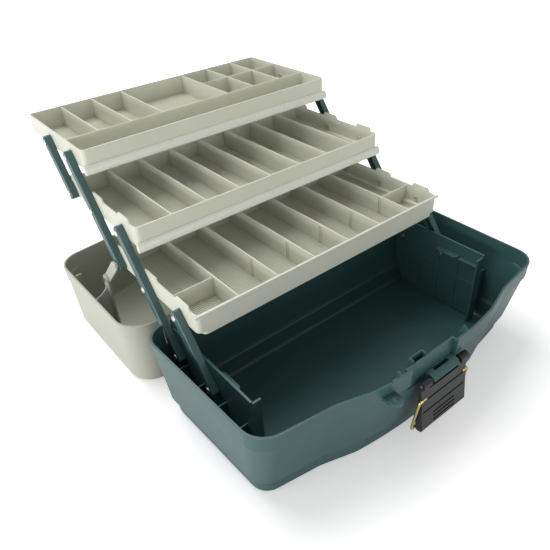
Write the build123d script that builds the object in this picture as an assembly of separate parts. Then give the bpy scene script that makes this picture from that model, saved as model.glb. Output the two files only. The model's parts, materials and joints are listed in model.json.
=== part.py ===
# Three-tray cantilever tackle box, shown open: a tapered base tub, three trays carried
# out in steps by eight swinging arms, a deep lid lying flat behind, and a front latch.
# Millimetres. X runs along the box, Y from front to back, Z up. The origin is on the
# ground under the middle of the base.

from build123d import *
from math import atan2, cos, degrees, hypot, radians, sin
import os

# Base tub
tub_half_rear = 250.0
end_splay = 6.0
tub_half_front = tub_half_rear - end_splay
tub_rear = 130.0
tub_front_corner = 97.0
tub_bow = 41.5
tub_height = 130.0
tub_wall = 2.6
tub_rear_radius = 27.0
tub_front_radius = 32.0
tub_foot_radius = 9.0
shoulder_x = 150.0
shoulder_drop = 12.5
bow_x = 104.0
bow_drop = 26.5
bow_radius = 650.0
shoulder_radius = 60.0
band_depth = 22.0
band_step = 2.0
ledge_top = 32.0
ledge_bottom = 26.0

# How far each level of the tub stands in from the rim, at the ends and at the front
taper_end = 9.5
taper_front = 17.0
ledge_step = 5.5
foot_end = 16.5
foot_front = 24.5

# Trays
end_room = 39.0
tray_half = tub_half_rear - end_room
tray_depth = 198.0
tray_height = 33.0
tray_wall = 2.0
tray_floor = 2.0
tray_corner = 7.0
tray_step = 7.0
partition = 1.5
partition_gap = 1.0
pivot_back = 36.0
pivot_below = 18.0
pivot_pitch = 75.5
hump_height = 5.5
hump_top = 26.0
hump_foot = 34.0
hump_shift = -6.0
lip_height = 9.0
lip_reach = 5.0
lip_over = 1.5
flange_height = 3.0
flange_reach = 1.5
slot_rib = 1.4
slot_rib_reach = 1.5
slot_clear = 0.2

# Where the trays' compartments are divided
bottom_columns = (-150.7, -90.4, -30.1, 30.1, 90.4, 150.7)
divider_back = 57.5
middle_columns = (-158.25, -105.5, -52.75, 0.0, 52.75, 105.5, 158.25)
top_columns = (-161.0, -110.0, -59.0, 57.5, 108.5, 161.0)
top_long_wall = 56.0
top_mid_wall = 130.0

# Arms and rivets
arm_open_angle = 52.2
base_arm_reach = 93.9
stage_reach = 78.0
base_pivot_y = 32.45
base_pivot_z = 89.3
arm_gap = 0.3
arm_thick = 10.0
arm_width = 13.0
arm_skin = 2.0
arm_web = 2.4
arm_notch_gap = 1.0
rivet_radius = 2.5
rivet_clear = 0.05
rivet_head_radius = 4.2
rivet_head = 1.8
washer_gap = 0.3

# Plates that carry the arms inside the tub
bracket_thick = 3.0
bracket_top = 121.0
bracket_flange_top = 116.5
bracket_front = -40.0
bracket_flange = 12.0
bracket_gap = 0.2
panel_depth = 1.2
web_thick = 2.0
web_top = 78.0

# Lid, drawn closed and then turned over on its hinge
lid_over_rear = 6.0
lid_over_front = 14.0
lid_half_rear = tub_half_rear + lid_over_rear
lid_half_front = tub_half_front + lid_over_front
lid_overlap = 4.0
lid_depth = 108.0
lid_wall = 2.5
lid_rear_radius = 38.0
lid_front_radius = 34.0
lid_taper = 5.5
lid_top_radius = 9.0
hinge_y = 150.0
hinge_z = 119.0
lid_open_turn = 180.0
knuckle_radius = 6.5
knuckle_width = 16.0
hinge_centres = (-150.0, 0.0, 150.0)
hinge_pin_radius = 2.5

# Posts and stays inside the lid's ends
post_pin_y = 19.0
post_pin_z = 115.0
post_radius = 7.0
post_foot = 38.0
post_waist = 40.0
stay_thick = 3.0
stay_pin_radius = 2.5

# Handle in the top of the lid
recess_half = 72.0
recess_depth = 15.0
recess_front = -25.0
recess_rear = 25.0
handle_pivot_y = 14.0
handle_section = 11.0
handle_reach = 28.0
handle_pin_radius = 2.5

# Latch
latch_half = 41.0
latch_axis_y = -134.0
latch_axis_z = 101.0
latch_barrel = 5.5
latch_barrel_inner = 27.0
latch_mount_half = 23.5
latch_mount_gap = 2.5
catch_half = 13.0
latch_pin_radius = 1.5
latch_foot_z = 30.0
bail_radius = 1.5
bail_x = 44.5
bail_seat = 8.0
bail_pivot_y = -137.5
bail_pivot_z = 80.0
bail_bar_y = -130.5
bail_bar_z = 27.5
pocket_left = -54.0
pocket_right = 24.0
pocket_back = 7.0
pocket_depth = 33.0
tab_rise = 2.5
tab_left = 28.0
tab_right = 24.0
fin_left = 19.0
fin_right = 17.0

# Padlock eyes
eye_x = -86.0
eye_radius = 9.0
eye_hole = 3.5
eye_thick = 4.0
eye_y = -134.5
eye_base_z = 110.0
eye_lid_z = 131.5


# Small helpers
def slab(x0, x1, y0, y1, z0, z1):
    box = Box(x1 - x0, y1 - y0, z1 - z0)
    return Pos((x0 + x1) / 2, (y0 + y1) / 2, (z0 + z1) / 2) * box


def side_plate(points, x0, x1):
    """A plate with its outline in Y and Z, between two X planes."""
    face = make_face(Polyline(*[(0, y, z) for y, z in points], close=True))
    return Pos(x0, 0, 0) * extrude(face, amount=x1 - x0, dir=(1, 0, 0))


def cross_rod(y, z, radius, x0, x1):
    """A round rod along X."""
    rod = Plane((x0, y, z), x_dir=(0, 1, 0), z_dir=(1, 0, 0)) * Circle(radius)
    return extrude(rod, amount=x1 - x0, dir=(1, 0, 0))


def mirrored(shape):
    return mirror(shape, about=Plane.YZ)


def both_sides(shapes):
    return [piece for shape in shapes for piece in (shape, mirrored(shape))]


def turned_over(shape):
    """From the lid's closed place to its open one."""
    return shape.rotate(Axis((0, hinge_y, hinge_z), (1, 0, 0)), lid_open_turn)


def rim_face(z, half_rear, half_front, rear, front, radii, inset_end=0.0, inset_front=0.0):
    """The bowed outline that the tub and the lid share, at one height."""
    rear_radius, front_radius = radii
    right = [
        (half_rear - inset_end, rear - inset_end),
        (half_front - inset_end, -front + inset_front),
        (shoulder_x, -front - shoulder_drop + inset_front),
        (bow_x, -front - bow_drop + inset_front),
    ]
    apex = [(0, -front - tub_bow + inset_front)]
    left = [(-x, y) for x, y in reversed(right)]
    bends = [rear_radius, front_radius, shoulder_radius, shoulder_radius]
    wire = FilletPolyline(
        *[(x, y, z) for x, y in right + apex + left],
        radius=bends + [bow_radius] + bends[::-1],
        close=True,
    )
    return make_face(wire)


def stack(levels, outline):
    """A ruled shell through the outline at each level."""
    return loft([outline(*level) for level in levels], ruled=True)


# Base tub
def tub_outline(z, inset_end, inset_front):
    shrink = inset_end * 0.5
    radii = (tub_rear_radius - shrink, tub_front_radius - shrink)
    return rim_face(
        z, tub_half_rear, tub_half_front, tub_rear, tub_front_corner, radii, inset_end, inset_front
    )


def tub_levels(wall, floor):
    """Heights and insets down the tub, for its outside or, with a wall, its inside."""
    band = tub_height - band_depth
    return [
        (tub_height, wall, wall),
        (band, wall + 0.5, wall + 1.0),
        (band - band_step, wall + band_step, wall + band_step + 1.0),
        (ledge_top + wall, wall + taper_end, wall + taper_front),
        (ledge_bottom + wall, wall + taper_end + ledge_step, wall + taper_front + ledge_step),
        (floor, wall + foot_end, wall + foot_front),
    ]


tub_outside = stack(tub_levels(0.0, 0.0), tub_outline)
tub_outside = fillet(tub_outside.faces().sort_by(Axis.Z)[0].edges(), tub_foot_radius)
tub_inside = stack(tub_levels(tub_wall, tub_wall), tub_outline)
tub_inside = fillet(tub_inside.faces().sort_by(Axis.Z)[0].edges(), tub_foot_radius - tub_wall)


def tub_inner_end(y, z):
    """Where the tub's end wall is on its inside, along X, below the rim band."""
    levels = tub_levels(tub_wall, tub_wall)
    (z0, end0, front0), (z1, end1, front1) = levels[2], levels[3]
    down = (z0 - z) / (z0 - z1)
    inset_end = end0 + (end1 - end0) * down
    inset_front = front0 + (front1 - front0) * down
    rear = tub_rear - inset_end
    along = (rear - y) / (rear + tub_front_corner - inset_front)
    return tub_half_rear + (tub_half_front - tub_half_rear) * along - inset_end


def knuckles(offsets, arm_points):
    """Round hinge eyes on short arms, one set at each hinge."""
    eyes = []
    for centre in hinge_centres:
        for x0, x1 in offsets:
            eye = cross_rod(hinge_y, hinge_z, knuckle_radius, centre + x0, centre + x1)
            eye += side_plate(arm_points, centre + x0, centre + x1)
            bore = cross_rod(
                hinge_y, hinge_z, hinge_pin_radius + rivet_clear, centre + x0 - 1, centre + x1 + 1
            )
            eyes.append(eye - bore)
    return eyes


# The open rear arms lie in notches in the rear wall, this far above the ground there
arm_slope = radians(arm_open_angle)
wall_reach = tub_rear - tub_wall - band_step - 1.0 - base_pivot_y - pivot_pitch
rear_arm_under = base_pivot_z + wall_reach * sin(arm_slope) / cos(arm_slope) - arm_width / 2 / cos(arm_slope)


def base_tub():
    tub = tub_outside - tub_inside
    front = -(tub_front_corner + tub_bow)
    pocket_z = tub_height - pocket_depth
    back = -(tub_front_corner + tub_bow) + pocket_back + 7.5
    housing = slab(
        pocket_left - tub_wall, pocket_right + tub_wall, front, back + tub_wall,
        pocket_z - tub_wall, tub_height,
    )
    tub += housing & tub_outside
    tub -= slab(pocket_left, pocket_right, front - 5, back, pocket_z, tub_height + 1)
    ring = extrude(tub_outline(tub_height, 0, 0), amount=tab_rise)
    ring -= extrude(tub_outline(tub_height, tub_wall, tub_wall), amount=tab_rise)
    for x0, x1 in ((pocket_left - tab_left, pocket_left), (pocket_right, pocket_right + tab_right)):
        tub += ring & slab(x0, x1, front, back + 10, tub_height - 1, tub_height + tab_rise + 1)
    fin_back = front + 36.0
    for x in (pocket_left - fin_left, pocket_right + fin_right):
        fin = side_plate(
            [(front + 12, tub_height + 9), (front + 15, tub_height + 9),
             (fin_back, tub_height - 45), (front, tub_height - 45), (front, tub_height - 4)],
            x, x + web_thick,
        )
        tub += fin & (tub_outside + extrude(tub_outline(tub_height, 0, 0), amount=12))
    reach = hinge_y - knuckle_radius
    arm = [(tub_rear - 3.5, tub_height - 1), (reach + 4, hinge_z + 6), (reach + 4, hinge_z - 6),
           (tub_rear - 3.5, hinge_z - 22)]
    outer = knuckle_width + arm_gap
    spans = [(-outer, -knuckle_width / 2 - arm_gap), (knuckle_width / 2 + arm_gap, outer)]
    for eye in knuckles(spans, arm):
        tub += eye - tub_inside
    notch = slab(
        tray_half - arm_notch_gap, tray_half + arm_gap + arm_thick + arm_notch_gap,
        tub_rear - 8, tub_rear + 2, rear_arm_under - arm_notch_gap, tub_height + 1,
    )
    return tub - notch - mirrored(notch)


# Plates inside the ends of the tub, which carry the arms' lowest pivots
def base_pivots():
    return [(base_pivot_y, base_pivot_z), (base_pivot_y + pivot_pitch, base_pivot_z)]


def base_bracket():
    inner = tray_half - bracket_thick - bracket_gap
    outer = inner + bracket_thick
    foot = tub_wall
    rear = tub_rear - tub_wall - 1.5
    plate = side_plate(
        [(bracket_front, foot), (bracket_front, bracket_top), (rear - 1, bracket_top),
         (rear - taper_end, ledge_top + 4), (rear - taper_end - ledge_step, ledge_bottom + 2),
         (rear - foot_end - tub_foot_radius, foot)],
        inner, outer,
    )
    plate += slab(
        inner - bracket_flange, outer, bracket_front, bracket_front + bracket_thick,
        foot, bracket_flange_top,
    )
    rows = ((foot + 7, 58.0), (65.0, bracket_top - 30))
    for z0, z1 in rows:
        for y0 in (-30.0, 4.0, 38.0, 72.0):
            plate -= slab(inner - 1, inner + panel_depth, y0, y0 + 28.0, z0, z1)
    for y in (-30.0, 12.0, 54.0, 96.0):
        low = ledge_top + tub_wall + 2
        web = make_face(Polyline(
            (outer, y, low), (outer, y, web_top), (tub_inner_end(y, web_top) - bracket_gap, y, web_top),
            (tub_inner_end(y, low) - bracket_gap, y, low), close=True,
        ))
        plate += extrude(web, amount=web_thick, dir=(0, 1, 0))
    for y, z in base_pivots():
        plate -= cross_rod(y, z, rivet_radius + rivet_clear, inner - 2, outer + 2)
    return plate


# Trays
def tray_shell(front, rim):
    """One tray as moulded, with no partitions: the ends step in near the floor."""
    bottom = rim - tray_height
    middle = front + tray_depth / 2

    def block(half, inset, z0, z1, radius):
        base = Plane.XY.offset(z0) * Pos(0, middle)
        outline = RectangleRounded(2 * (half - inset), tray_depth - 2 * inset, radius)
        return extrude(base * outline, amount=z1 - z0)

    step = bottom + tray_step
    upper = block(tray_half, 0, step, rim, tray_corner)
    lower = block(tray_half - tray_step, 0, bottom, step, tray_corner)
    lower = chamfer(lower.faces().sort_by(Axis.Z)[0].edges(), tray_floor)
    space = block(tray_half, tray_wall, step + tray_floor, rim + 1, tray_corner - tray_wall)
    well = block(tray_half - tray_step, tray_wall, bottom + tray_floor, rim, tray_corner - tray_wall)
    return upper + lower - space - well


def tray_inside(front, rim):
    """The room inside a tray's walls, which its partitions are cut to."""
    step = rim - tray_height + tray_step + tray_floor
    half = tray_half - tray_wall * 0.5
    y0 = front + tray_wall * 0.5
    y1 = front + tray_depth - tray_wall * 0.5
    bottom = rim - tray_height
    room = slab(-half, half, y0, y1, step - tray_floor, rim)
    return room + slab(tray_step - half, half - tray_step, y0, y1, bottom + 1, rim)


def wall_along_y(front, rim, x, y0, y1):
    half = partition / 2
    return slab(x - half, x + half, y0, y1, rim - tray_height + 1, rim - partition_gap)


def wall_along_x(front, rim, y, x0, x1):
    half = partition / 2
    return slab(x0, x1, y - half, y + half, rim - tray_height + 1, rim - partition_gap)


def end_humps(front, rim):
    """Raised parts of the end walls over the three pivots."""
    humps = []
    for n in range(3):
        y = front + pivot_back + hump_shift + n * pivot_pitch
        outline = [(y - hump_foot / 2, rim - 1), (y - hump_top / 2, rim + hump_height),
                   (y + hump_top / 2, rim + hump_height), (y + hump_foot / 2, rim - 1)]
        humps.append(side_plate(outline, tray_half - tray_wall, tray_half))
    return both_sides(humps)


def front_lip(front, rim):
    """The rounded finger lip under the front of an upper tray."""
    bottom = rim - tray_height
    half = tray_half + lip_over
    lip = slab(-half, half, front - lip_reach, front + tray_wall, bottom, bottom + lip_height)
    nose = lip.faces().sort_by(Axis.Y)[0].edges()
    return fillet(nose, lip_reach / 2)


def tray_pivots(front, rim, count):
    return [(front + pivot_back + n * pivot_pitch, rim - pivot_below) for n in range(count)]


def drilled(tray, pivots):
    for y, z in pivots:
        hole = cross_rod(y, z, rivet_radius + rivet_clear, tray_half - tray_wall - 4, tray_half + 2)
        tray = tray - hole - mirrored(hole)
    return tray


# Places of the open trays, worked out from the arms
def swung(reach):
    angle = radians(arm_open_angle)
    return reach * cos(angle), reach * sin(angle)


base_step_y, base_step_z = swung(base_arm_reach)
stage_step_y, stage_step_z = swung(stage_reach)
bottom_front = base_pivot_y + base_step_y - pivot_back
bottom_rim = base_pivot_z + base_step_z + pivot_below
middle_front = bottom_front + pivot_pitch + stage_step_y
middle_rim = bottom_rim + stage_step_z
top_front = middle_front + pivot_pitch + stage_step_y
top_rim = middle_rim + stage_step_z


def divider_slots(x, rim):
    """Two pairs of small ribs that hold a removable divider at its end."""
    ribs = []
    gap = partition / 2 + slot_clear
    y = bottom_front + divider_back
    for y0 in (y - gap - slot_rib, y + gap):
        ribs.append(slab(
            x, x + slot_rib_reach, y0, y0 + slot_rib, rim - tray_height + 1, rim - partition_gap - 1
        ))
    return ribs


def bottom_tray():
    tray = tray_shell(bottom_front, bottom_rim)
    y0 = bottom_front + tray_wall * 0.5
    y1 = bottom_front + tray_depth - tray_wall * 0.5
    walls = [wall_along_y(bottom_front, bottom_rim, x, y0, y1) for x in bottom_columns]
    for x in bottom_columns:
        walls += divider_slots(x + partition / 2, bottom_rim)
        walls += divider_slots(x - partition / 2 - slot_rib_reach, bottom_rim)
    for x in (-tray_half + tray_wall, tray_half - tray_wall - slot_rib_reach):
        walls += divider_slots(x, bottom_rim)
    room = tray_inside(bottom_front, bottom_rim)
    for wall in walls:
        tray += wall & room
    flange = slab(
        -tray_half - flange_reach, tray_half + flange_reach, bottom_front - flange_reach,
        bottom_front + tray_wall / 2, bottom_rim - flange_height, bottom_rim,
    )
    tray += flange
    for hump in end_humps(bottom_front, bottom_rim):
        tray += hump
    return drilled(tray, tray_pivots(bottom_front, bottom_rim, 3))


def middle_tray():
    tray = tray_shell(middle_front, middle_rim)
    y0 = middle_front + tray_wall * 0.5
    y1 = middle_front + tray_depth - tray_wall * 0.5
    room = tray_inside(middle_front, middle_rim)
    for x in middle_columns:
        tray += wall_along_y(middle_front, middle_rim, x, y0, y1) & room
    tray += front_lip(middle_front, middle_rim)
    for hump in end_humps(middle_front, middle_rim):
        tray += hump
    return drilled(tray, tray_pivots(middle_front, middle_rim, 3))


def top_tray():
    tray = tray_shell(top_front, top_rim)
    room = tray_inside(top_front, top_rim)
    rear = top_front + tray_depth - tray_wall * 0.5
    long_y = top_front + top_long_wall
    walls = [wall_along_x(top_front, top_rim, long_y, -tray_half, tray_half)]
    walls.append(wall_along_x(
        top_front, top_rim, top_front + top_mid_wall, top_columns[3], tray_half
    ))
    walls += [wall_along_y(top_front, top_rim, x, long_y, rear) for x in top_columns]
    for wall in walls:
        tray += wall & room
    tray += front_lip(top_front, top_rim)
    return drilled(tray, tray_pivots(top_front, top_rim, 2))


def tray_divider():
    """A loose cross divider in the bottom tray's left end compartment."""
    y = bottom_front + divider_back
    low = bottom_rim - tray_height + tray_floor
    step = bottom_rim - tray_height + tray_step + tray_floor
    x0 = -tray_half + tray_wall + 0.1
    x1 = bottom_columns[0] - partition / 2 - 0.1
    high = bottom_rim - partition_gap - 2
    outline = Polyline(
        (x0, y, step + 0.1), (x0, y, high), (x1, y, high), (x1, y, low), (x0 + tray_step, y, low),
        (x0 + tray_step, y, step + 0.1), close=True,
    )
    return Pos(0, -partition / 2, 0) * extrude(make_face(outline), amount=partition, dir=(0, 1, 0))


# Arms
arm_in = tray_half + arm_gap
arm_out = arm_in + arm_thick


def arm(pivots):
    """One moulded arm for the right side: hollow behind, with a boss at each pivot."""
    (y0, z0), (y1, z1) = pivots[0], pivots[-1]
    length = hypot(y1 - y0, z1 - z0)
    turn = degrees(atan2(z1 - z0, y1 - y0))
    plane = Plane((arm_in, y0, z0), x_dir=(0, cos(radians(turn)), sin(radians(turn))), z_dir=(1, 0, 0))
    outline = Pos(length / 2, 0) * SlotCenterToCenter(length, arm_width)
    body = extrude(plane * outline, amount=arm_thick)
    hollow = Pos(length / 2, 0) * SlotCenterToCenter(length, arm_width - 2 * arm_skin)
    pocket = extrude(plane * hollow, amount=arm_thick - arm_web)
    for y, z in pivots:
        pocket -= cross_rod(y, z, arm_width / 2 - 1, arm_in - 1, arm_out)
    body -= pocket
    body = chamfer(body.faces().sort_by(Axis.X)[-1].edges(), 0.8)
    for y, z in pivots:
        body -= cross_rod(y, z, rivet_radius + rivet_clear, arm_in - 1, arm_out + 1)
    return body


def place(front, rim, n):
    return tray_pivots(front, rim, 3)[n]


base_front_pivot, base_rear_pivot = base_pivots()
front_arm_pivots = [base_front_pivot, place(bottom_front, bottom_rim, 0)]
rear_arm_pivots = [base_rear_pivot, place(bottom_front, bottom_rim, 1), place(middle_front, middle_rim, 0)]
middle_arm_pivots = [
    place(bottom_front, bottom_rim, 2), place(middle_front, middle_rim, 1), place(top_front, top_rim, 0),
]
top_arm_pivots = [place(middle_front, middle_rim, 2), place(top_front, top_rim, 1)]


def rivets(pivots, inner):
    """Headed rivets through a wall and an arm, on both sides."""
    pins = []
    for y, z in pivots:
        pin = cross_rod(y, z, rivet_radius, inner - rivet_head, arm_out + rivet_head)
        pin += cross_rod(y, z, rivet_head_radius, inner - rivet_head, inner - 0.1)
        head = cross_rod(y, z, rivet_head_radius, arm_out + 0.1, arm_out + rivet_head)
        head = chamfer(head.faces().sort_by(Axis.X)[-1].edges(), rivet_head * 0.5)
        pins.append(pin + head)
    return both_sides(pins)


# Lid
lid_front = tub_front_corner + lid_overlap
lid_rear = tub_rear + lid_overlap
lid_top = tub_height + lid_depth


def lid_outline(z, inset):
    shrink = inset * 0.5
    radii = (lid_rear_radius - shrink, lid_front_radius - shrink)
    return rim_face(
        z, lid_half_rear, lid_half_front, lid_rear, lid_front, radii, inset, inset
    )


def lid_levels(wall):
    band = tub_height + band_depth
    return [
        (tub_height, wall),
        (band, wall + 0.5),
        (band + band_step, wall + band_step),
        (lid_top - wall, wall + lid_taper),
    ]


lid_outside = stack(lid_levels(0.0), lid_outline)
lid_outside = fillet(lid_outside.faces().sort_by(Axis.Z)[-1].edges(), lid_top_radius)
lid_inside = stack(lid_levels(lid_wall), lid_outline)
lid_inside = fillet(lid_inside.faces().sort_by(Axis.Z)[-1].edges(), lid_top_radius - lid_wall)
post_in = arm_out + rivet_head + washer_gap + stay_thick + 0.3
post_out = post_in + stay_thick


def lid_post():
    """A moulded post inside the lid's right end, webbed to the end wall."""
    y, z = post_pin_y, post_pin_z
    foot = lid_top - lid_wall / 2
    post = side_plate(
        [(y - post_radius, z), (y - post_radius * 1.2, foot - post_waist), (y - post_foot / 2, foot),
         (y + post_foot / 2, foot), (y + post_radius * 1.2, foot - post_waist), (y + post_radius, z)],
        post_in, post_out,
    )
    post += cross_rod(y, z, post_radius, post_in, post_out)
    wall_x = lid_half_rear - lid_wall
    web = make_face(Polyline(
        (post_out - 1, y, z + 5), (post_out + 3, y, z + 16), (post_out + 12, y, z + 23),
        (wall_x + 0.5, y, z + 28), (wall_x - band_step, y, z + 42), (wall_x - lid_taper, y, foot),
        (post_out - 1, y, foot), close=True,
    ))
    post += Pos(0, -web_thick / 2, 0) * extrude(web, amount=web_thick, dir=(0, 1, 0))
    return post - cross_rod(y, z, stay_pin_radius + rivet_clear, post_in - 1, post_out + 1)


def lid():
    floor = lid_top - recess_depth
    shell = lid_outside - lid_inside
    box = slab(
        -recess_half - lid_wall, recess_half + lid_wall, recess_front - lid_wall,
        recess_rear + lid_wall, floor - lid_wall, lid_top - lid_wall / 2,
    )
    shell += box
    shell -= slab(-recess_half, recess_half, recess_front, recess_rear, floor, lid_top + 1)
    shell -= cross_rod(
        handle_pivot_y, handle_pivot_z, handle_pin_radius + rivet_clear,
        -recess_half - lid_wall - 1, recess_half + lid_wall + 1,
    )
    for post in both_sides([lid_post()]):
        shell += post
    for x in (lid_half_front - lid_taper - 11, -lid_half_front + lid_taper + 1):
        rib = slab(x, x + 10, -52, -50, tub_height + 6, lid_top - lid_wall / 2)
        shell += rib & lid_outside
    reach = hinge_y - knuckle_radius
    arm_outline = [(lid_rear - 2, tub_height + 1), (reach + 2, hinge_z + 3),
                   (hinge_y + 2, hinge_z + knuckle_radius), (lid_rear - 2, tub_height + 22)]
    for eye in knuckles([(-knuckle_width / 2, knuckle_width / 2)], arm_outline):
        shell += eye - lid_inside
    return turned_over(shell)


def lid_stay():
    """The flat stay between a lid post and the bottom tray's rear rivet."""
    y0 = 2 * hinge_y - post_pin_y
    z0 = 2 * hinge_z - post_pin_z
    y1, z1 = place(bottom_front, bottom_rim, 2)
    x0 = arm_out + rivet_head + washer_gap
    length = hypot(y1 - y0, z1 - z0)
    slope = atan2(z1 - z0, y1 - y0)
    plane = Plane((x0, y0, z0), x_dir=(0, cos(slope), sin(slope)), z_dir=(1, 0, 0))
    bar = extrude(plane * (Pos(length / 2, 0) * SlotCenterToCenter(length, 2 * post_radius)), stay_thick)
    bar -= extrude(
        plane * (Pos(length / 2, 0) * SlotCenterToCenter(length - 24, post_radius)),
        stay_thick - 1.4,
    )
    return bar - cross_rod(y0, z0, stay_pin_radius + rivet_clear, x0 - 1, x0 + stay_thick + 1)


def stay_pins():
    y, z = post_pin_y, post_pin_z
    x0 = arm_out + rivet_head + washer_gap
    pin = cross_rod(y, z, stay_pin_radius, x0 + 0.2, post_out + 1.5)
    pin += cross_rod(y, z, rivet_head_radius, post_out + 0.1, post_out + 1.5)
    return [turned_over(shape) for shape in both_sides([pin])]


def hinge_pins():
    reach = knuckle_width + arm_gap
    return [
        cross_rod(hinge_y, hinge_z, hinge_pin_radius, x - reach, x + reach) for x in hinge_centres
    ]


def padlock_eye(z):
    """A flat ear with a hole for a padlock, to be seated on a bowed front."""
    ear = slab(eye_x - eye_radius, eye_x + eye_radius, eye_y, eye_y + 16, z, z + eye_thick)
    centre = Pos(eye_x, eye_y, z + eye_thick / 2)
    ear += centre * Cylinder(eye_radius, eye_thick)
    return ear - centre * Cylinder(eye_hole, eye_thick + 2)


def lid_catch():
    """The ledge on the lid's front that the wire bail pulls down on."""
    front = -(lid_front + tub_bow) + 7.5
    outline = [(front + 6, tub_height + 2), (front - 4, tub_height + 2), (front - 7, tub_height + 8),
               (front - 5, tub_height + 9), (front - 3, tub_height + 5), (front - 1, tub_height + 16),
               (front + 6, tub_height + 16)]
    return turned_over(side_plate(outline, -catch_half, catch_half) - lid_outside)


# Handle, folded into the lid's top
handle_pivot_z = lid_top - handle_section / 2 - 1.0
handle_half = recess_half - 0.3


def handle():
    y = handle_pivot_y
    z = handle_pivot_z
    half = handle_section / 2
    arms = side_plate(
        [(y - handle_reach, z - half), (y, z - half), (y, z + half), (y - handle_reach, z + half)],
        handle_half - 8, handle_half,
    )
    arms += cross_rod(y, z, half, handle_half - 8, handle_half)
    far = y - handle_reach
    grip = slab(-handle_half, handle_half, far - half, far + half, z - half, z + half)
    grip = fillet(grip.edges().filter_by(Axis.X), half * 0.6)
    bail = grip + arms + mirrored(arms)
    for side in (1, -1):
        x0, x1 = sorted((side * (handle_half - 9), side * (handle_half + 1)))
        bail -= cross_rod(y, z, handle_pin_radius + rivet_clear, x0, x1)
    return turned_over(bail)


def handle_pins():
    pin = cross_rod(
        handle_pivot_y, handle_pivot_z, handle_pin_radius, handle_half - 7, recess_half + lid_wall
    )
    return [turned_over(shape) for shape in both_sides([pin])]


# Latch
def latch_mount():
    """The moulded bracket on the tub's front, slotted for the lid's catch."""
    y, z = latch_axis_y, latch_axis_z
    half = latch_mount_half
    block = side_plate(
        [(y + 12, z + 7), (y + 6, z + 6.5), (y - 1, z + 5), (y - latch_barrel, z), (y, z - latch_barrel),
         (y + 4, z - 8), (y + 20, z - 8)],
        -half, half,
    )
    slot = slab(-catch_half, catch_half, y + 3.5, y + 8.5, z - 3, z + 10)
    pocket = slab(pocket_left, pocket_right, y, y + 3.0 + pocket_back, tub_height - pocket_depth, tub_height)
    block = block - slot - (tub_outside - pocket)
    block = block - cross_rod(y, z, latch_pin_radius + rivet_clear, -half - 1, half + 1)
    return block.solids().sort_by(SortBy.VOLUME)[-1]


def latch_lever():
    y, z = latch_axis_y, latch_axis_z
    foot = latch_foot_z
    blade = side_plate(
        [(y, z + 3), (y + 3, z - 6), (y + 2.5, z - 18), (y + 1, foot + 2), (y - 2, foot - 1), (y - 8, foot),
         (y - 9.5, foot + 3), (y - 1.5, z - 6), (y - latch_barrel + 1.5, z)],
        -latch_half, latch_half,
    )
    gap = latch_mount_half + latch_mount_gap
    blade -= slab(-gap, gap, y - 20, y + 20, z - 8 - latch_mount_gap, z + 20)
    for side in (1, -1):
        x0, x1 = sorted((side * latch_barrel_inner, side * latch_half))
        blade += cross_rod(y, z, latch_barrel, x0, x1)
    for groove_z, half in ((77.0, 38.0), (60.0, 38.0), (50.0, 20.0), (44.0, 20.0), (38.0, 20.0)):
        slope = (z - 6 - groove_z) / (z - 9 - foot)
        face_y = y - 1.5 - 8.0 * slope
        blade -= slab(-half, half, face_y - 3, face_y + 1.6, groove_z - 1.2, groove_z + 1.2)
    blade -= cross_rod(y, z, latch_pin_radius + rivet_clear, -latch_half - 1, latch_half + 1)
    seat = latch_half - bail_seat
    bore = bail_radius + rivet_clear
    blade -= cross_rod(bail_pivot_y, bail_pivot_z, bore, -latch_half - 1, -seat)
    blade -= cross_rod(bail_pivot_y, bail_pivot_z, bore, seat, latch_half + 1)
    return blade


def latch_pin():
    return cross_rod(latch_axis_y, latch_axis_z, latch_pin_radius, -latch_half, latch_half)


def latch_bail():
    """A square-cornered wire loop, sprung into the lever's sides."""
    corner = 3.0
    end_x = latch_half - bail_seat + 0.5
    path = FilletPolyline(
        (-end_x, bail_pivot_y, bail_pivot_z), (-bail_x, bail_pivot_y, bail_pivot_z),
        (-bail_x, bail_bar_y, bail_bar_z), (bail_x, bail_bar_y, bail_bar_z),
        (bail_x, bail_pivot_y, bail_pivot_z), (end_x, bail_pivot_y, bail_pivot_z),
        radius=corner,
    )
    section = Plane((-end_x, bail_pivot_y, bail_pivot_z), z_dir=(-1, 0, 0)) * Circle(bail_radius)
    return sweep(section, path=path)


# Every piece, by the name of its file
front_arm = arm(front_arm_pivots)
rear_arm = arm(rear_arm_pivots)
middle_arm = arm(middle_arm_pivots)
top_arm = arm(top_arm_pivots)
bracket = base_bracket()
stay = lid_stay()
divider = tray_divider()
bracket_inner = tray_half - bracket_thick - bracket_gap
tray_inner = tray_half - tray_wall

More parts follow.
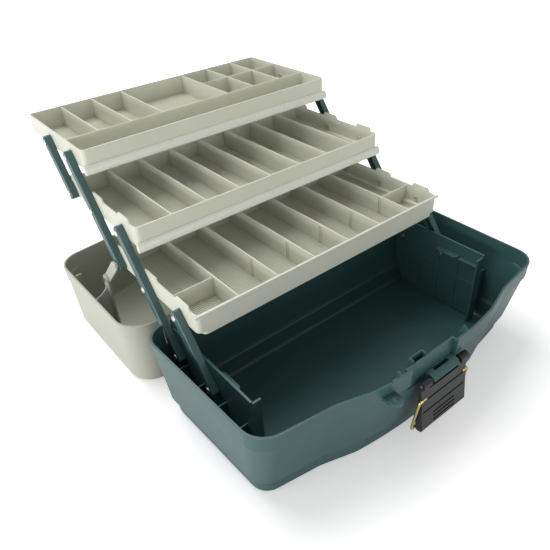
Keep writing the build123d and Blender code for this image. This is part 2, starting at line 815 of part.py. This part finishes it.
pieces = {
    "base_tub": base_tub(),
    "base_bracket_left": mirrored(bracket),
    "base_bracket_right": bracket,
    "latch_mount": latch_mount(),
    "padlock_eye_base": padlock_eye(eye_base_z) - tub_outside,
    "tray_bottom": bottom_tray(),
    "tray_middle": middle_tray(),
    "tray_top": top_tray(),
    "tray_divider_left": divider,
    "tray_divider_right": mirrored(divider),
    "front_arm_left": mirrored(front_arm),
    "front_arm_right": front_arm,
    "rear_arm_left": mirrored(rear_arm),
    "rear_arm_right": rear_arm,
    "middle_arm_left": mirrored(middle_arm),
    "middle_arm_right": middle_arm,
    "top_arm_left": mirrored(top_arm),
    "top_arm_right": top_arm,
    "rivets_base": rivets(base_pivots(), bracket_inner),
    "rivets_bottom_tray": rivets(tray_pivots(bottom_front, bottom_rim, 3), tray_inner),
    "rivets_middle_tray": rivets(tray_pivots(middle_front, middle_rim, 3), tray_inner),
    "rivets_top_tray": rivets(tray_pivots(top_front, top_rim, 2), tray_inner),
    "lid": lid(),
    "lid_stay_left": mirrored(stay),
    "lid_stay_right": stay,
    "lid_stay_pins": stay_pins(),
    "hinge_pins": hinge_pins(),
    "lid_catch": lid_catch(),
    "padlock_eye_lid": turned_over(padlock_eye(eye_lid_z) - lid_outside),
    "handle": handle(),
    "handle_pins": handle_pins(),
    "latch_lever": latch_lever(),
    "latch_pin": latch_pin(),
    "latch_bail": latch_bail(),
}

os.makedirs("parts", exist_ok=True)
for name, piece in pieces.items():
    if isinstance(piece, list):
        solids = [solid for part in piece for solid in part.solids()]
    else:
        solids = piece.solids()
    shape = solids[0] if len(solids) == 1 else Compound(children=solids)
    shape.label = name
    export_step(shape, "parts/" + name + ".step")
    print(name, len(solids), round(sum(solid.volume for solid in solids)))
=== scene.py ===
"""The looks of a three-tray cantilever tackle box, standing open, its lid laid over behind it."""
import json
from math import cos, pi, radians, sin

import bmesh
import bpy
from mathutils import Matrix, Vector

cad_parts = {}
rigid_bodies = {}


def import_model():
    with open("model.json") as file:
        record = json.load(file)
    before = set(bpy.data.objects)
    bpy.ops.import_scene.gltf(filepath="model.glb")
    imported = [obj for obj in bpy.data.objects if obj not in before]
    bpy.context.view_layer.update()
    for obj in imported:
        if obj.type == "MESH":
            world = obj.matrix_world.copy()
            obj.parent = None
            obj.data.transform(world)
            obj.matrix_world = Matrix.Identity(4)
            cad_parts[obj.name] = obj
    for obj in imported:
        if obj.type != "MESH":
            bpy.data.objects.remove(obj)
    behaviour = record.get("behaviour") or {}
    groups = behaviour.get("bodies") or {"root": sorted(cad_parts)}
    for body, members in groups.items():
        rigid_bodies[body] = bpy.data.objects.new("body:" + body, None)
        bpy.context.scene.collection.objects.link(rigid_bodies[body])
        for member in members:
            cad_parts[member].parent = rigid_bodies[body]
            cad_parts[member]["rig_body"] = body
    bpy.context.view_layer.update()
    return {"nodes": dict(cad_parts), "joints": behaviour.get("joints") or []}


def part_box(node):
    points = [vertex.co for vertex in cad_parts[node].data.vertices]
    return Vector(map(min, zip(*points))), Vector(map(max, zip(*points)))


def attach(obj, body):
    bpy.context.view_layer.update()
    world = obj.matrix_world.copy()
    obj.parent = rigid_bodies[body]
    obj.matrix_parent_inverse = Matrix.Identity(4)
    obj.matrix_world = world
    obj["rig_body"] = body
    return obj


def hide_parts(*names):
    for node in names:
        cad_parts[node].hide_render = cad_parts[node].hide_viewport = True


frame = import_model()
nodes = frame["nodes"]
scene = bpy.context.scene


# Base tub
# The injection-moulded lower case, dark green polypropylene with a satin skin. It comes out
# of its tool in one piece, so its edges are all slightly round.
mottle_scale = 14.0
sink_scale = 9.0
sink_depth = 0.004
grain_depth = 0.0002
gloss_swing = 0.06
weld = 2e-6
flat_within = 0.6
sharp_from = 38.0


def skin_pattern(tree, scale, detail):
    """A cloudy pattern fixed to the piece, as a shader output."""
    place = tree.nodes.new("ShaderNodeTexCoord")
    cloud = tree.nodes.new("ShaderNodeTexNoise")
    cloud.inputs["Scale"].default_value = scale
    cloud.inputs["Detail"].default_value = detail
    tree.links.new(place.outputs["Object"], cloud.inputs["Vector"])
    return cloud.outputs["Fac"]


def two_shades(tree, pattern, colour, dark, light):
    """Base colour that wanders between a darker and a lighter shade of one colour."""
    tint = tree.nodes.new("ShaderNodeMix")
    tint.data_type = "RGBA"
    tint.inputs["A"].default_value = (*[part * dark for part in colour], 1)
    tint.inputs["B"].default_value = (*[min(1.0, part * light) for part in colour], 1)
    tree.links.new(pattern, tint.inputs["Factor"])
    shader = tree.nodes["Principled BSDF"]
    tree.links.new(tint.outputs["Result"], shader.inputs["Base Color"])


def uneven_gloss(tree, pattern, least, most):
    """Roughness that wanders between two values."""
    gloss = tree.nodes.new("ShaderNodeMapRange")
    gloss.inputs["To Min"].default_value = least
    gloss.inputs["To Max"].default_value = most
    tree.links.new(pattern, gloss.inputs["Value"])
    shader = tree.nodes["Principled BSDF"]
    tree.links.new(gloss.outputs["Result"], shader.inputs["Roughness"])


def relief(tree, pattern, strength, height):
    """Fine relief from a pattern."""
    bump = tree.nodes.new("ShaderNodeBump")
    bump.inputs["Strength"].default_value = strength
    bump.inputs["Distance"].default_value = height
    tree.links.new(pattern, bump.inputs["Height"])
    return bump


def plastic(name, colour, roughness, mottle, grain, grain_scale=1500.0, flow=0.0):
    """Moulded plastic: faint mottling, soft uneven gloss, a fine grain and shallow sink marks."""
    material = bpy.data.materials.new(name)
    material.use_nodes = True
    tree = material.node_tree
    mottling = skin_pattern(tree, mottle_scale, detail=4.0)
    two_shades(tree, mottling, colour, 1 - mottle, 1 + mottle)
    uneven_gloss(tree, mottling, roughness - gloss_swing, roughness + gloss_swing)
    skin = relief(tree, skin_pattern(tree, grain_scale, detail=2.0), grain, grain_depth)
    if flow:
        sink = relief(tree, skin_pattern(tree, sink_scale, detail=1.0), flow, sink_depth)
        tree.links.new(sink.outputs["Normal"], skin.inputs["Normal"])
    shader = tree.nodes["Principled BSDF"]
    tree.links.new(skin.outputs["Normal"], shader.inputs["Normal"])
    return material


def put_in(name, mesh):
    """A mesh put into the scene as a piece."""
    piece = bpy.data.objects.new(name, mesh)
    scene.collection.objects.link(piece)
    return piece


def settled(piece):
    """Turns a piece's modifiers into its plain mesh."""
    graph = bpy.context.evaluated_depsgraph_get()
    done = bpy.data.meshes.new_from_object(piece.evaluated_get(graph), depsgraph=graph)
    old = piece.data
    piece.modifiers.clear()
    piece.data = done
    bpy.data.meshes.remove(old)
    return piece


def rounded(piece, edge, sharp=sharp_from):
    """Rounds a piece's edges that are sharper than an angle, and evens its shading."""
    for face in piece.data.polygons:
        face.use_smooth = True
    bevel = piece.modifiers.new("round", "BEVEL")
    bevel.width = edge
    bevel.segments = 2
    bevel.limit_method = "ANGLE"
    bevel.angle_limit = radians(sharp)
    even = piece.modifiers.new("even", "WEIGHTED_NORMAL")
    even.keep_sharp = True
    return settled(piece)


def finished(node, edge):
    """A copy of a moulded piece with its sharp edges rounded as a tool leaves them."""
    mesh = nodes[node].data.copy()
    work = bmesh.new()
    work.from_mesh(mesh)
    bmesh.ops.remove_doubles(work, verts=work.verts, dist=weld)
    bmesh.ops.dissolve_limit(
        work,
        angle_limit=radians(flat_within),
        verts=work.verts,
        edges=work.edges,
        delimit={"NORMAL"},
    )
    work.to_mesh(mesh)
    work.free()
    mesh.normals_split_custom_set([(0.0, 0.0, 0.0)] * len(mesh.loops))
    return rounded(put_in(node + "_moulded", mesh), edge)


def fitted(piece, material, body):
    """Gives a finished piece its material and its place among the bodies."""
    piece.data.materials.clear()
    piece.data.materials.append(material)
    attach(piece, body)


def dress(piece, node, material):
    """Fits a finished piece in the place of the node it stands for."""
    fitted(piece, material, nodes[node]["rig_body"])
    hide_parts(node)


green = plastic("green_case", (0.040, 0.102, 0.099), 0.36, mottle=0.07, grain=0.22, flow=0.25)
dress(finished("base_tub", edge=0.0006), "base_tub", green)


# Bracket plates, latch bracket and padlock ear
# Separate mouldings in the same green. The plates stand on webs inside the tub's ends and
# carry the lowest arms; the latch bracket and the ear sit on the tub's front.
for node, edge in (
    ("base_bracket_left", 0.0004),
    ("base_bracket_right", 0.0004),
    ("latch_mount", 0.0006),
    ("padlock_eye_base", 0.0008),
):
    dress(finished(node, edge), node, green)


# Ledges and keeper inside the tub
# A small shelf and a tongue moulded on the inner face of each bracket plate, and an open box
# behind the latch pocket. They are in the case's own plastic.
plate_face = 0.2078
ledge_thick = 0.002
ledge_meet = -0.0030
shelf_reach = 0.0068
shelf_front = -0.0369
shelf_foot = 0.0995
tongue_reach = 0.0118
tongue_back = 0.0350
tongue_corner = 0.006
tongue_foot = 0.1020
keeper_left, keeper_right = -0.0440, -0.0220
keeper_front, keeper_back = -0.1215, -0.1145
keeper_wall = 0.0015
keeper_foot, keeper_top = 0.112, 0.134


def arc(centre, radius, quarter, steps):
    """Points round one quarter of a circle, quarters counted from the first axis."""
    points = []
    for step in range(steps + 1):
        turn = pi / 2 * (quarter + step / steps)
        points.append((centre[0] + radius * cos(turn), centre[1] + radius * sin(turn)))
    return points


def outward(piece):
    """Turns all of a closed piece's faces outward."""
    work = bmesh.new()
    work.from_mesh(piece.data)
    bmesh.ops.recalc_face_normals(work, faces=work.faces)
    work.to_mesh(piece.data)
    work.free()
    return piece


def skinned(name, rings):
    """A closed piece whose skin runs through rings of points, capped at both ends."""
    count = len(rings[0])
    last = count * (len(rings) - 1)
    faces = [tuple(range(count)), tuple(range(last, last + count))]
    for ring in range(0, last, count):
        above = ring + count
        for here in range(count):
            there = (here + 1) % count
            faces.append((ring + here, ring + there, above + there, above + here))
    mesh = bpy.data.meshes.new(name)
    mesh.from_pydata([point for ring in rings for point in ring], [], faces)
    return outward(put_in(name, mesh))


def upright(name, outline, foot, top, side=1):
    """A small upright moulding on the case, from its outline seen from above."""
    rings = [[(side * x, y, z) for x, y in outline] for z in (foot, top)]
    fitted(rounded(skinned(name, rings), edge=0.0003), green, "base")


shelf_edge = plate_face - shelf_reach
shelf = (
    (shelf_edge, shelf_front), (plate_face, shelf_front),
    (plate_face, ledge_meet), (shelf_edge, ledge_meet),
)
tongue_bend = plate_face - tongue_reach + tongue_corner
tongue = (
    (plate_face, ledge_meet),
    (plate_face, tongue_back),
    *arc((tongue_bend, tongue_back - tongue_corner), tongue_corner, quarter=1, steps=3),
    *arc((tongue_bend, ledge_meet + tongue_corner), tongue_corner, quarter=2, steps=3),
)
keeper_inside = (keeper_left + keeper_wall, keeper_right - keeper_wall)
keeper = (
    (keeper_left, keeper_front), (keeper_left, keeper_back),
    (keeper_right, keeper_back), (keeper_right, keeper_front),
    (keeper_inside[1], keeper_front), (keeper_inside[1], keeper_back - keeper_wall),
    (keeper_inside[0], keeper_back - keeper_wall), (keeper_inside[0], keeper_front),
)
for label, side in (("left", -1), ("right", 1)):
    upright("bracket_shelf_" + label, shelf, shelf_foot, shelf_foot + ledge_thick, side)
    upright("bracket_tongue_" + label, tongue, tongue_foot, tongue_foot + ledge_thick, side)
upright("catch_keeper", keeper, keeper_foot, keeper_top)


# Trays
# Three thin-walled mouldings in pale grey-beige polypropylene, with their partitions moulded
# in. Two loose dividers stand in the end compartments of the lowest.
pale = plastic("pale_tray", (0.67, 0.68, 0.575), 0.38, mottle=0.03, grain=0.08, flow=0.12)
for node in ("tray_bottom", "tray_middle", "tray_top"):
    dress(finished(node, edge=0.0004), node, pale)
for node in ("tray_divider_left", "tray_divider_right"):
    dress(finished(node, edge=0.0003), node, pale)


# Tray floor ribs
# Fine ribs moulded on the floors, running along the tray from partition to partition. They
# stiffen the thin floors and keep small tackle from sticking to them.
tray_half = 0.211
tray_depth = 0.198
tray_wall = 0.0012
floor_half = 0.202
floor_rise = 0.002
rib_pitch = 0.00305
rib_wide = 0.0013
rib_high = 0.0013
rib_gap = 0.001
end_cross_wall = 0.0575
top_long_wall = 0.056
top_cross_wall = 0.130
top_short_walls = (-0.161, -0.110, -0.059, 0.0575, 0.1085, 0.161)


def tray_place(stage):
    """How far back a tray's front wall stands, and how high its foot."""
    low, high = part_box("tray_" + stage)
    return high.y - tray_depth, low.z


def rib_tree():
    """A row of equal bars, made from its count, pitch, start and size."""
    tree = bpy.data.node_groups.new("rib_row", "GeometryNodeTree")
    panel = tree.interface
    for label, kind in (
        ("Count", "NodeSocketInt"),
        ("Pitch", "NodeSocketVector"),
        ("Start", "NodeSocketVector"),
        ("Size", "NodeSocketVector"),
        ("Material", "NodeSocketMaterial"),
    ):
        panel.new_socket(name=label, in_out="INPUT", socket_type=kind)
    panel.new_socket(name="Mesh", in_out="OUTPUT", socket_type="NodeSocketGeometry")
    given = tree.nodes.new("NodeGroupInput")
    result = tree.nodes.new("NodeGroupOutput")
    line = tree.nodes.new("GeometryNodeMeshLine")
    line.mode = "OFFSET"
    bar = tree.nodes.new("GeometryNodeMeshCube")
    spread = tree.nodes.new("GeometryNodeInstanceOnPoints")
    real = tree.nodes.new("GeometryNodeRealizeInstances")
    paint = tree.nodes.new("GeometryNodeSetMaterial")
    join = tree.links.new
    join(given.outputs["Count"], line.inputs["Count"])
    join(given.outputs["Start"], line.inputs["Start Location"])
    join(given.outputs["Pitch"], line.inputs["Offset"])
    join(given.outputs["Size"], bar.inputs["Size"])
    join(line.outputs["Mesh"], spread.inputs["Points"])
    join(bar.outputs["Mesh"], spread.inputs["Instance"])
    join(spread.outputs["Instances"], real.inputs["Geometry"])
    join(real.outputs["Geometry"], paint.inputs["Geometry"])
    join(given.outputs["Material"], paint.inputs["Material"])
    join(paint.outputs["Geometry"], result.inputs["Mesh"])
    return tree


def rib_row(tree, x0, x1, y0, y1, z):
    """The ribs of one compartment's floor, clear of the walls round it."""
    left, right = x0 + rib_gap, x1 - rib_gap
    front, back = y0 + rib_gap, y1 - rib_gap
    count = int((back - front) / rib_pitch)
    pitch = (back - front) / count
    row = put_in("rib_row", bpy.data.meshes.new("rib_seed"))
    grow = row.modifiers.new("ribs", "NODES")
    grow.node_group = tree
    values = {
        "Count": count,
        "Pitch": (0.0, pitch, 0.0),
        "Start": ((left + right) / 2, front + pitch / 2, z + rib_high / 2),
        "Size": (right - left, rib_wide, rib_high),
        "Material": pale,
    }
    for socket in tree.interface.items_tree:
        if socket.in_out == "INPUT":
            grow[socket.identifier] = values[socket.name]
    mesh = settled(row).data
    bpy.data.objects.remove(row)
    return mesh


def joined(name, meshes):
    """One piece from several meshes."""
    work = bmesh.new()
    for mesh in meshes:
        work.from_mesh(mesh)
        bpy.data.meshes.remove(mesh)
    whole = bpy.data.meshes.new(name)
    work.to_mesh(whole)
    work.free()
    return put_in(name, whole)


def tray_ribs(stage, short_walls, long_walls):
    """A tray's floor ribs, between short walls at X and each compartment's long walls at Y."""
    tree = rib_tree()
    front, foot = tray_place(stage)
    edges = [-floor_half, *short_walls, floor_half]
    rows = []
    for x0, x1, cross in zip(edges, edges[1:], long_walls):
        cuts = [front + cut for cut in (tray_wall, *cross, tray_depth - tray_wall)]
        for y0, y1 in zip(cuts, cuts[1:]):
            rows.append(rib_row(tree, x0, x1, y0, y1, foot + floor_rise))
    ribs = joined("tray_" + stage + "_floor_ribs", rows)
    fitted(ribs, pale, stage + "_tray")


def even_walls(rooms):
    """Where the walls stand that part a tray into equal compartments."""
    return [tray_half * (2 * wall / rooms - 1) for wall in range(1, rooms)]


end_room = (end_cross_wall,)
tray_ribs("bottom", even_walls(7), [end_room, *[()] * 5, end_room])
tray_ribs("middle", even_walls(8), [()] * 8)
left_room = (top_long_wall,)
right_room = (top_long_wall, top_cross_wall)
tray_ribs("top", top_short_walls, [left_room] * 4 + [right_room] * 3)


# Tray lips
# Each of the upper two trays has a smooth rounded lip, moulded along the foot of its front
# wall. It is a little glossier, and its colour is a painted highlight, lighter than the tray's.
lip_over = 0.00155
lip_reach = 0.0056
lip_top = 0.0125
lip_waist = 0.0030
lip_under = 0.0022
lip_root = 0.0005
lip_drop = 0.00005
# The lip's colour is the tray's plastic made lighter: a painted highlight.
lip_highlight_plastic = plastic("lip_painted_highlight", (0.76, 0.77, 0.68), 0.28, mottle=0.02, grain=0.04, flow=0.05)


def tray_lip(stage):
    """The lip's section, an elliptical slope over a rounded foot, drawn out along the tray."""
    front, foot = tray_place(stage)
    slope = [
        (-lip_reach * across, lip_waist + (lip_top - lip_waist) * up)
        for up, across in arc((0, 0), 1, quarter=0, steps=12)
    ]
    under = [
        (lip_under * (1 - across) - lip_reach, lip_waist - (lip_waist + lip_drop) * down)
        for across, down in arc((0, 0), 1, quarter=0, steps=6)[1:]
    ]
    section = [*slope, *under, (lip_root, -lip_drop), (lip_root, lip_top)]
    half = tray_half + lip_over
    rings = [[(x, front + y, foot + z) for y, z in section] for x in (-half, half)]
    lip = rounded(skinned("tray_" + stage + "_lip", rings), edge=0.0005)
    fitted(lip, lip_highlight_plastic, stage + "_tray")


tray_lip("middle")
tray_lip("top")


# Arms
# Eight moulded bars in the green of the case, a little glossier, square-ended with rounded
# corners and hollow behind, one pair at each stage of the linkage. They turn on the rivets.
arm_back = 0.21132
arm_face = 0.2213
arm_wide = 0.013
arm_end = 0.0090
arm_corner = 0.0038
arm_edge = 0.0011
arm_skin = 0.002
arm_web = 0.0024
pivot_step = 0.0755
arm_green = plastic("green_arm", (0.046, 0.105, 0.104), 0.32, mottle=0.05, grain=0.10, flow=0.1)
pivots = {joint["name"]: joint["pos_m"][1:] for joint in frame["joints"]}


def bar_outline(length, inset):
    """A bar's rounded rectangle, drawn in all round, as (along, across) points."""
    far = length + arm_end - arm_corner
    near = arm_corner - arm_end
    wide = arm_wide / 2 - arm_corner
    points = []
    for quarter, centre in enumerate(((far, wide), (near, wide), (near, -wide), (far, -wide))):
        points += arc(centre, arm_corner - inset, quarter, steps=5)
    return points


def moulded_arm(node, start, end, side):
    """An arm from its first pivot to its last, both as (Y, Z)."""
    span = Vector(end) - Vector(start)
    run, rise = span.normalized()
    rings = []
    for inset, x in (
        (arm_skin, arm_face - arm_web),
        (arm_skin, arm_back),
        (0.0, arm_back),
        (0.0, arm_face - arm_edge),
        (arm_edge, arm_face),
    ):
        rings.append([
            (
                side * x,
                start[0] + run * along - rise * across,
                start[1] + rise * along + run * across,
            )
            for along, across in bar_outline(span.length, inset)
        ])
    bar = rounded(skinned(node + "_bar", rings), edge=0.0004, sharp=30.0)
    dress(bar, node, arm_green)


def pivot_ahead(joint):
    """The pivot one step nearer the front on the same tray."""
    y, z = pivots[joint]
    return y - pivot_step, z


for stage, start, end in (
    ("front", pivots["front_arm_swing"], pivots["bottom_tray_level"]),
    ("rear", pivots["rear_arm_swing"], pivot_ahead("middle_tray_level")),
    ("middle", pivots["middle_arm_swing"], pivot_ahead("top_tray_level")),
    ("top", pivots["top_arm_swing"], pivots["top_tray_level"]),
):
    moulded_arm(stage + "_arm_left", start, end, -1)
    moulded_arm(stage + "_arm_right", start, end, 1)


# Lid
# The deep upper case in off-white polypropylene, with posts and ribs moulded inside its ends.
# Its catch, its padlock ear and the two stays to the lowest tray are in the same plastic.
cream = plastic("cream_lid", (0.45, 0.455, 0.385), 0.40, mottle=0.03, grain=0.15, flow=0.2)
for node in ("lid", "lid_catch", "padlock_eye_lid", "lid_stay_left", "lid_stay_right"):
    dress(finished(node, edge=0.0005), node, cream)


# Handle and latch lever
# Both are moulded in black grained plastic. The handle folds into the lid's top, and the
# lever, ribbed for the thumb, turns on its pin in the latch bracket.
black = plastic(
    "black_grip", (0.022, 0.023, 0.025), 0.36, mottle=0.1, grain=0.35, grain_scale=900.0
)
dress(finished("handle", edge=0.0006), "handle", black)
dress(finished("latch_lever", edge=0.0006), "latch_lever", black)


# Rivets and pins
# The arms turn on set aluminium rivets. The lid, the stays, the handle and the lever turn on
# drawn steel pins.
mark_scale = 420.0
mark_depth = 0.0002
mark_dark, mark_light = 0.8, 1.08
mark_gloss, mark_dull = 0.08, 0.10


def metal(name, colour, roughness, scratch):
    """Drawn or set metal with fine handling marks."""
    material = bpy.data.materials.new(name)
    material.use_nodes = True
    tree = material.node_tree
    shader = tree.nodes["Principled BSDF"]
    shader.inputs["Metallic"].default_value = 1.0
    marks = skin_pattern(tree, mark_scale, detail=5.0)
    two_shades(tree, marks, colour, mark_dark, mark_light)
    uneven_gloss(tree, marks, roughness - mark_gloss, roughness + mark_dull)
    skin = relief(tree, marks, scratch, mark_depth)
    tree.links.new(skin.outputs["Normal"], shader.inputs["Normal"])
    return material


aluminium = metal("set_aluminium", (0.80, 0.79, 0.76), 0.32, scratch=0.15)
for node in ("rivets_base", "rivets_bottom_tray", "rivets_middle_tray", "rivets_top_tray"):
    dress(finished(node, edge=0.0003), node, aluminium)
steel = metal("drawn_steel", (0.60, 0.60, 0.59), 0.35, scratch=0.15)
for node in ("hinge_pins", "lid_stay_pins", "handle_pins", "latch_pin"):
    dress(finished(node, edge=0.0002), node, steel)


# Wire bail
# One square-cornered loop of brass-coated spring wire, its ends sprung into the lever's sides.
# It swings with the lever and hangs in front of the tub.
brass = metal("brass_wire", (0.86, 0.74, 0.26), 0.24, scratch=0.08)
wire_radius = 0.0018
wire_bend = 0.0045
wire_half = 0.0445
wire_end = 0.0335
wire_bar = (-0.1305, 0.0275)


def bent(corners, bend, steps=6):
    """Points along a wire whose inner corners are bent round."""
    points = [Vector(corners[0])]
    for before, corner, after in zip(corners, corners[1:], corners[2:]):
        here = Vector(corner)
        back = (Vector(before) - here).normalized() * bend
        ahead = (Vector(after) - here).normalized() * bend
        for step in range(steps + 1):
            share = step / steps
            points.append(here + back * (1 - share) ** 2 + ahead * share ** 2)
    points.append(Vector(corners[-1]))
    return points


def wire(name, points, radius):
    """A round wire along points, as a plain mesh."""
    curve = bpy.data.curves.new(name, "CURVE")
    curve.dimensions = "3D"
    curve.bevel_depth = radius
    curve.bevel_resolution = 4
    curve.use_fill_caps = True
    spline = curve.splines.new("POLY")
    spline.points.add(len(points) - 1)
    for target, point in zip(spline.points, points):
        target.co = (*point, 1)
    holder = put_in(name + "_curve", curve)
    graph = bpy.context.evaluated_depsgraph_get()
    mesh = bpy.data.meshes.new_from_object(holder.evaluated_get(graph), depsgraph=graph)
    bpy.data.objects.remove(holder)
    for face in mesh.polygons:
        face.use_smooth = True
    return outward(put_in(name, mesh))


wire_top = pivots["bail_swing"]
left_side = [(-wire_end, *wire_top), (-wire_half, *wire_top), (-wire_half, *wire_bar)]
right_side = [(-x, y, z) for x, y, z in reversed(left_side)]
bail = wire("latch_bail_wire", bent(left_side + right_side, wire_bend), wire_radius)
dress(bail, "latch_bail", brass)


# Floor
# A plain pale sheet under the box. It shows white to the camera and keeps the box's shadow:
# it glows least right under the box, and fully a little way off.
sheet_half = 6.0
glow_near, glow_far = 0.55, 1.3
glow_least, glow_most = 0.35, 1.0


def studio_white():
    """Matt white that glows for the camera alone, more with the distance from the box."""
    material = bpy.data.materials.new("studio_white")
    material.use_nodes = True
    tree = material.node_tree
    shader = tree.nodes["Principled BSDF"]
    shader.inputs["Base Color"].default_value = (0.9, 0.9, 0.9, 1)
    shader.inputs["Roughness"].default_value = 0.9
    shader.inputs["Emission Color"].default_value = (1, 1, 1, 1)
    place = tree.nodes.new("ShaderNodeTexCoord")
    reach = tree.nodes.new("ShaderNodeVectorMath")
    reach.operation = "LENGTH"
    tree.links.new(place.outputs["Object"], reach.inputs[0])
    fade = tree.nodes.new("ShaderNodeMapRange")
    fade.inputs["From Min"].default_value = glow_near
    fade.inputs["From Max"].default_value = glow_far
    fade.inputs["To Min"].default_value = glow_least
    fade.inputs["To Max"].default_value = glow_most
    tree.links.new(reach.outputs["Value"], fade.inputs["Value"])
    path = tree.nodes.new("ShaderNodeLightPath")
    glow = tree.nodes.new("ShaderNodeMath")
    glow.operation = "MULTIPLY"
    tree.links.new(path.outputs["Is Camera Ray"], glow.inputs[0])
    tree.links.new(fade.outputs["Result"], glow.inputs[1])
    tree.links.new(glow.outputs["Value"], shader.inputs["Emission Strength"])
    return material


sheet = bpy.data.meshes.new("studio_floor")
ends = (-sheet_half, sheet_half)
sheet.from_pydata([(x, y, 0) for y in ends for x in ends], [], [(0, 1, 3, 2)])
sheet.materials.append(studio_white())
put_in("studio_floor", sheet)


# Light
# Plain soft studio light: a large panel at the left, one overhead and a weak one in front.
# The white room round them lights the box less than it shows to the camera.
room_light = 0.42
room_shown = 1.0
world = bpy.data.worlds.new("studio")
scene.world = world
world.use_nodes = True
room = world.node_tree
backdrop = room.nodes["Background"]
backdrop.inputs["Color"].default_value = (1, 1, 1, 1)
ray = room.nodes.new("ShaderNodeLightPath")
seen = room.nodes.new("ShaderNodeMath")
seen.operation = "MAXIMUM"
room.links.new(ray.outputs["Is Camera Ray"], seen.inputs[0])
room.links.new(ray.outputs["Is Transmission Ray"], seen.inputs[1])
level = room.nodes.new("ShaderNodeMapRange")
level.inputs["To Min"].default_value = room_light
level.inputs["To Max"].default_value = room_shown
room.links.new(seen.outputs["Value"], level.inputs["Value"])
room.links.new(level.outputs["Result"], backdrop.inputs["Strength"])


def panel(name, place, aim, size, power):
    """A soft rectangular lamp looking at a point of the box."""
    lamp = bpy.data.lights.new(name, "AREA")
    lamp.shape = "RECTANGLE"
    lamp.size, lamp.size_y = size
    lamp.energy = power
    look = Vector(aim) - Vector(place)
    turned = look.to_track_quat("-Z", "Y").to_matrix().to_4x4()
    put_in(name, lamp).matrix_world = Matrix.Translation(place) @ turned


panel("left_panel", place=(-1.9, 0.2, 0.36), aim=(0, 0.1, 0.12), size=(1.6, 0.6), power=18.0)
panel("top_panel", place=(-0.2, 1.1, 2.1), aim=(0, 0.1, 0.1), size=(1.8, 1.8), power=40.0)
panel("front_panel", place=(0.2, -2.2, 0.42), aim=(0, 0.0, 0.15), size=(1.4, 0.6), power=11.0)


# Camera
# The photograph's own view, found from the straight edges of the trays and the tub. Colours
# are shown as they are, with no film look.
eye = (-0.4305, -0.3926, 0.5814)
yaw, pitch, roll = radians(36.74), radians(35.41), radians(-3.43)
forward = Vector((sin(yaw) * cos(pitch), cos(yaw) * cos(pitch), -sin(pitch)))
level_right = Vector((cos(yaw), -sin(yaw), 0))
level_up = level_right.cross(forward)
right = level_right * cos(roll) + level_up * sin(roll)
up = level_up * cos(roll) - level_right * sin(roll)
lens = bpy.data.cameras.new("camera")
lens.sensor_width = 36.0
lens.lens = 36.89
lens.clip_start = 0.01
camera = put_in("camera", lens)
turn = Matrix((right, up, -forward)).transposed().to_4x4()
camera.matrix_world = Matrix.Translation(eye) @ turn
scene.camera = camera
scene.view_settings.view_transform = "Standard"
